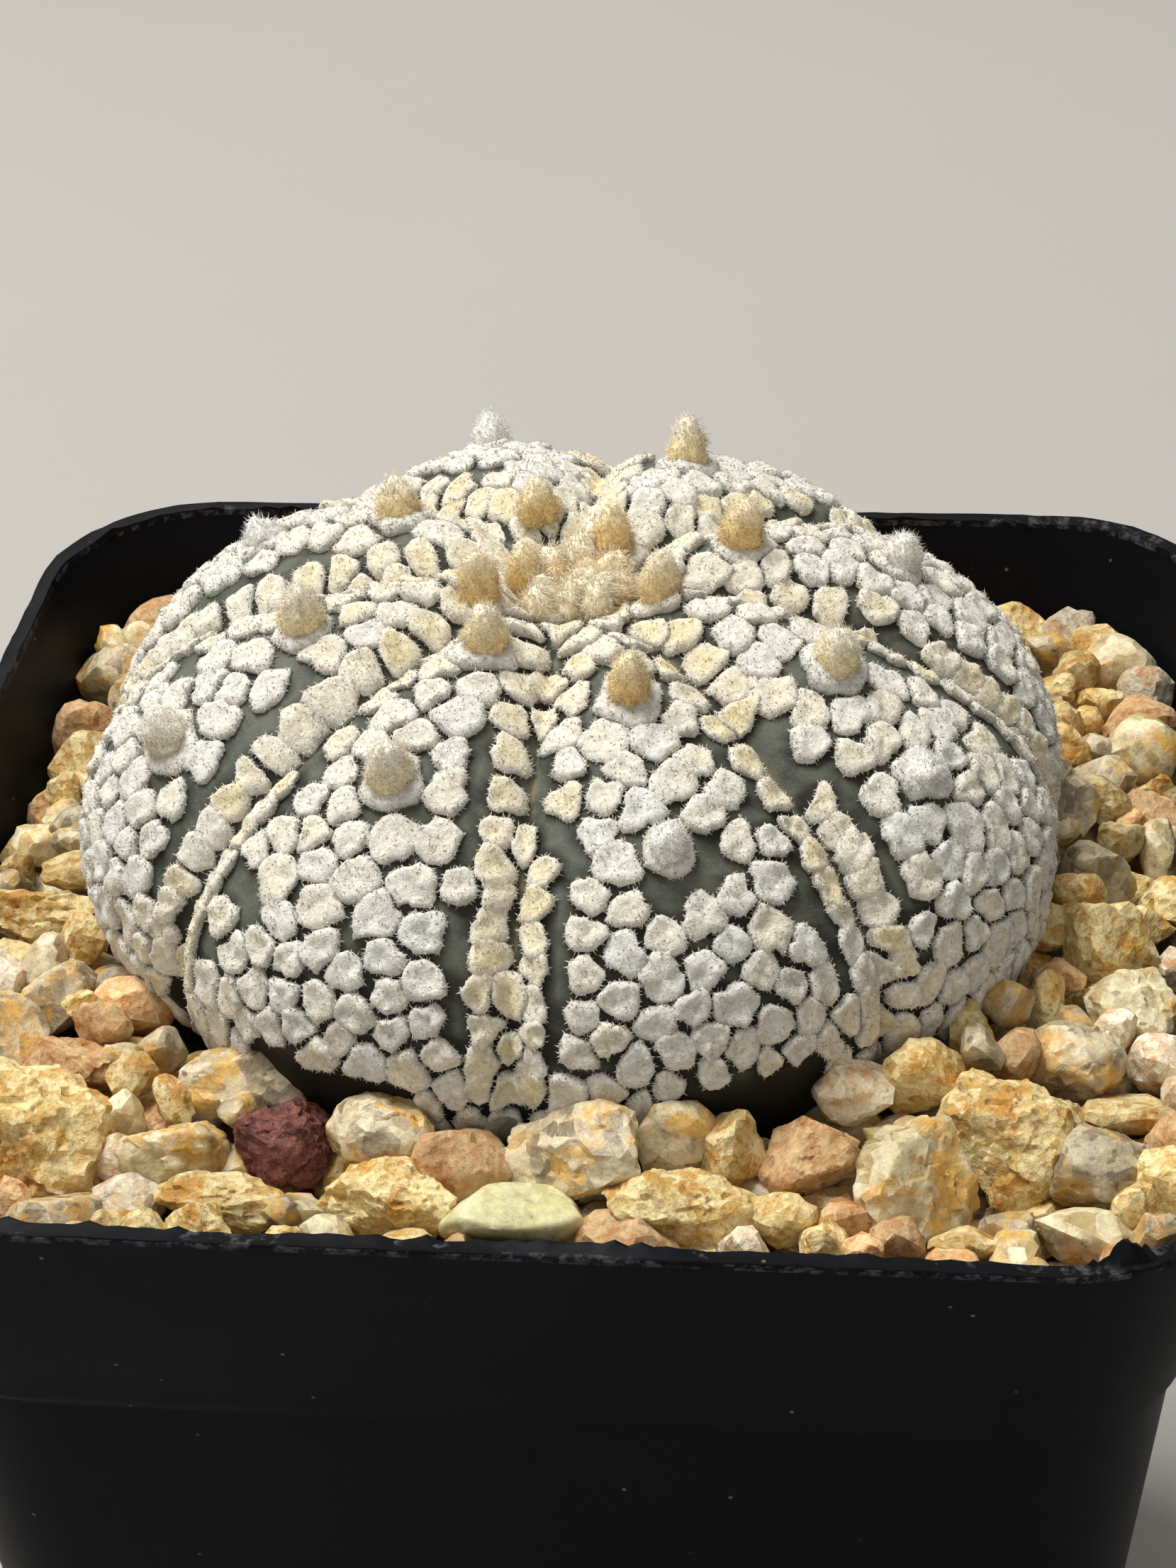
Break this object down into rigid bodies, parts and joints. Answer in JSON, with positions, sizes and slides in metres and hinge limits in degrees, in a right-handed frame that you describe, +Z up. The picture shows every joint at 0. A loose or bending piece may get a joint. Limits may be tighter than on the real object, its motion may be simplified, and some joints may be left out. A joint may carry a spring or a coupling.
{
  "type": "potted star cactus",
  "caption": "Flattened ribbed cactus body covered in raised woolly flecks, standing in a square tapered nursery pot filled with coarse gravel.",
  "frame": {"origin": "centre of the pot's underside, on the surface that the pot stands on", "axes": "+Z up through the pot, +X and +Y along the pot's square sides, -Y towards the side that the picture shows as the front"},
  "size_m": [0.075, 0.075, 0.0897],
  "materials": {
    "pot": "matte moulded, faint dust",
    "gravel": "rough mixed pumice, quartz and fired clay grains",
    "cactus_skin": "dark green skin under felted white wool flecks"
  },
  "bodies": {
    "root": {"pot": "pot", "gravel_bed": "gravel", "cactus": "cactus_skin"}
  },
  "joints": []
}
